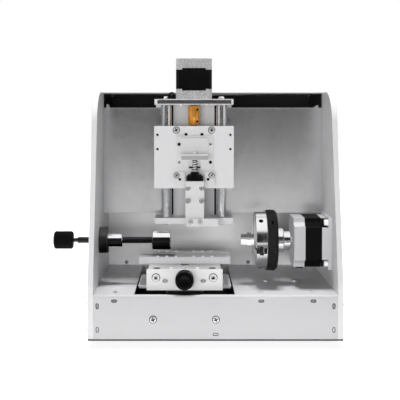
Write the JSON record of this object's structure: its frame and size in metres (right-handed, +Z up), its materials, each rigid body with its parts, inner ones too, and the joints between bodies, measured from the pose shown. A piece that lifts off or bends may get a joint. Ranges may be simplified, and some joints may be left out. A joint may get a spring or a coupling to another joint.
{
  "type": "desktop engraving machine",
  "caption": "Desktop engraver in an open-front sheet metal housing, with a sprung tool on a moving head, a sliding vise, and a turning chuck facing a tailstock for rings.",
  "frame": {"origin": "centre of the underside of the bottom plate", "axes": "+X to the right seen from the front, +Y from the front to the rear, +Z up"},
  "size_m": [0.3292, 0.2474, 0.3211],
  "materials": {
    "sheet": "satin",
    "side_sheet": "satin",
    "upper_sheet": "satin",
    "cover_sheet": "satin",
    "rubber": "matte",
    "zinc": "satin",
    "dark_screw": "satin",
    "bright_screw": "polished",
    "rod": "polished",
    "lead_screw": "satin",
    "motor_black": "satin",
    "motor_cap": "satin",
    "plate": "brushed",
    "plate_dark": "satin",
    "guide": "satin",
    "board": "matte",
    "black_plastic": "gloss",
    "black_oxide": "satin",
    "brass": "satin",
    "spring": "satin",
    "vise_steel": "satin",
    "jaw_steel": "satin",
    "chuck_steel": "polished",
    "ring_steel": "satin",
    "cup_steel": "polished"
  },
  "bodies": {
    "frame": {"base_shell": "sheet", "bottom_plate": "side_sheet", "left_side_panel": "side_sheet", "right_side_panel": "side_sheet", "rear_wall": "sheet", "upper_panel": "upper_sheet", "back_cover": "cover_sheet", "rubber_feet": "rubber", "corner_brackets": "zinc", "panel_screws": "dark_screw", "y_rods": "rod", "x_rods": "rod", "drive_motors": "motor_black", "drive_brackets": "plate_dark", "control_board": "board", "power_inlet": "black_plastic", "chuck_motor_stator": "motor_black", "chuck_motor_caps": "motor_cap", "tail_flange": "ring_steel", "tail_bush": "vise_steel"},
    "head": {"x_carriage": "plate", "z_top_plate": "plate", "z_bottom_plate": "plate", "z_back_plate": "plate", "z_rods": "rod", "z_motor_stator": "motor_black", "z_motor_caps": "motor_cap", "z_frame_screws": "bright_screw", "cable_clip": "black_plastic"},
    "cross_screw": {"x_screw": "lead_screw"},
    "carriage": {"carriage_plate": "plate", "z_slide_block": "plate_dark", "float_guide": "guide", "spring_bracket": "guide", "carriage_screws": "dark_screw", "pressure_spring": "spring"},
    "head_screw": {"z_screw": "lead_screw", "z_coupling": "brass"},
    "tool": {"tool_arm": "guide", "tool_foot": "guide"},
    "spring_seat": {"spring_seat": "zinc"},
    "pressure_nut": {"pressure_nut": "black_oxide"},
    "table": {"slide_plate": "plate_dark", "y_slide_blocks": "plate_dark", "vise_body": "vise_steel", "vise_front_plate": "vise_steel"},
    "table_screw": {"y_screw": "lead_screw"},
    "vise_screw": {"vise_screw": "lead_screw", "vise_knob": "black_oxide"},
    "front_jaw": {"front_jaw": "jaw_steel"},
    "back_jaw": {"back_jaw": "jaw_steel"},
    "chuck": {"chuck_body": "chuck_steel"},
    "scroll_ring": {"scroll_ring": "ring_steel"},
    "chuck_jaw_1": {"chuck_jaw_1": "jaw_steel"},
    "chuck_jaw_2": {"chuck_jaw_2": "jaw_steel"},
    "chuck_jaw_3": {"chuck_jaw_3": "jaw_steel"},
    "tail_bearing": {"tail_bearing": "zinc"},
    "tail_screw": {"tail_screw": "lead_screw", "tail_knob": "black_oxide"},
    "tail_cup": {"tail_cup": "cup_steel"}
  },
  "joints": [
    {"name": "x_slide", "type": "slide", "parent": "frame", "child": "head", "axis": [1, 0, 0], "range_m": [-0.058, 0.022]},
    {"name": "x_screw_spin", "type": "hinge", "parent": "frame", "child": "cross_screw", "pos_m": [0, 0.037, 0.193], "axis": [1, 0, 0], "range_deg": [-990, 2610]},
    {"name": "z_slide", "type": "slide", "parent": "head", "child": "carriage", "axis": [0, 0, -1], "range_m": [-0.018, 0.032]},
    {"name": "z_screw_spin", "type": "hinge", "parent": "head", "child": "head_screw", "pos_m": [-0.0233, -0.023, 0.18], "axis": [0, 0, 1], "range_deg": [-810, 1440]},
    {"name": "tool_float", "type": "slide", "parent": "carriage", "child": "tool", "axis": [0, 0, 1], "range_m": [0, 0.005], "stiffness_N_per_m": 300, "springref_m": -0.012, "deforming": ["pressure_spring"]},
    {"name": "spring_seat_slide", "type": "slide", "parent": "tool", "child": "spring_seat", "axis": [0, 0, 1], "range_m": [0, 0.003]},
    {"name": "pressure_nut_spin", "type": "hinge", "parent": "spring_seat", "child": "pressure_nut", "pos_m": [-0.0224, -0.056, 0.175], "axis": [0, 0, 1], "range_deg": [0, 1543]},
    {"name": "y_slide", "type": "slide", "parent": "frame", "child": "table", "axis": [0, 1, 0], "range_m": [-0.034, 0.056]},
    {"name": "y_screw_spin", "type": "hinge", "parent": "frame", "child": "table_screw", "pos_m": [-0.034, -0.01, 0.0236], "axis": [0, 1, 0], "range_deg": [-2520, 1530]},
    {"name": "front_jaw_slide", "type": "slide", "parent": "table", "child": "front_jaw", "axis": [0, -1, 0], "range_m": [0, 0.018]},
    {"name": "back_jaw_slide", "type": "slide", "parent": "table", "child": "back_jaw", "axis": [0, 1, 0], "range_m": [0, 0.018]},
    {"name": "vise_screw_spin", "type": "hinge", "parent": "table", "child": "vise_screw", "pos_m": [-0.034, -0.06, 0.0656], "axis": [0, 1, 0], "range_deg": [-3240, 0]},
    {"name": "chuck_spin", "type": "hinge", "parent": "frame", "child": "chuck", "pos_m": [0.055, -0.048, 0.1], "axis": [1, 0, 0], "continuous": true},
    {"name": "scroll_turn", "type": "hinge", "parent": "chuck", "child": "scroll_ring", "pos_m": [0.067, -0.048, 0.1], "axis": [1, 0, 0], "range_deg": [0, 1234]},
    {"name": "chuck_jaw_1_slide", "type": "slide", "parent": "chuck", "child": "chuck_jaw_1", "axis": [0, -0.9715, -0.2368], "range_m": [0, 0.012]},
    {"name": "chuck_jaw_2_slide", "type": "slide", "parent": "chuck", "child": "chuck_jaw_2", "axis": [0, 0.2807, 0.9598], "range_m": [0, 0.012]},
    {"name": "chuck_jaw_3_slide", "type": "slide", "parent": "chuck", "child": "chuck_jaw_3", "axis": [0, 0.6909, -0.723], "range_m": [0, 0.012]},
    {"name": "tail_slide", "type": "slide", "parent": "frame", "child": "tail_bearing", "axis": [1, 0, 0], "range_m": [-0.034, 0.017]},
    {"name": "tail_screw_spin", "type": "hinge", "parent": "tail_bearing", "child": "tail_screw", "pos_m": [-0.1, -0.048, 0.1], "axis": [1, 0, 0], "range_deg": [-9793, 4897]},
    {"name": "tail_cup_spin", "type": "hinge", "parent": "tail_bearing", "child": "tail_cup", "pos_m": [-0.061, -0.048, 0.1], "axis": [1, 0, 0], "continuous": true}
  ],
  "couplings": [
    {"joint": "x_screw_spin", "follows": "x_slide", "rad_per_m": -785.4},
    {"joint": "z_screw_spin", "follows": "z_slide", "rad_per_m": 785.4},
    {"joint": "pressure_nut_spin", "follows": "spring_seat_slide", "rad_per_m": 8976},
    {"joint": "y_screw_spin", "follows": "y_slide", "rad_per_m": -785.4},
    {"joint": "back_jaw_slide", "follows": "front_jaw_slide", "ratio": 1},
    {"joint": "vise_screw_spin", "follows": "front_jaw_slide", "rad_per_m": -3141.6},
    {"joint": "tail_screw_spin", "follows": "tail_slide", "rad_per_m": 5026.5},
    {"joint": "chuck_jaw_1_slide", "follows": "scroll_turn", "m_per_rad": 0.00055704},
    {"joint": "chuck_jaw_2_slide", "follows": "scroll_turn", "m_per_rad": 0.00055704},
    {"joint": "chuck_jaw_3_slide", "follows": "scroll_turn", "m_per_rad": 0.00055704}
  ]
}
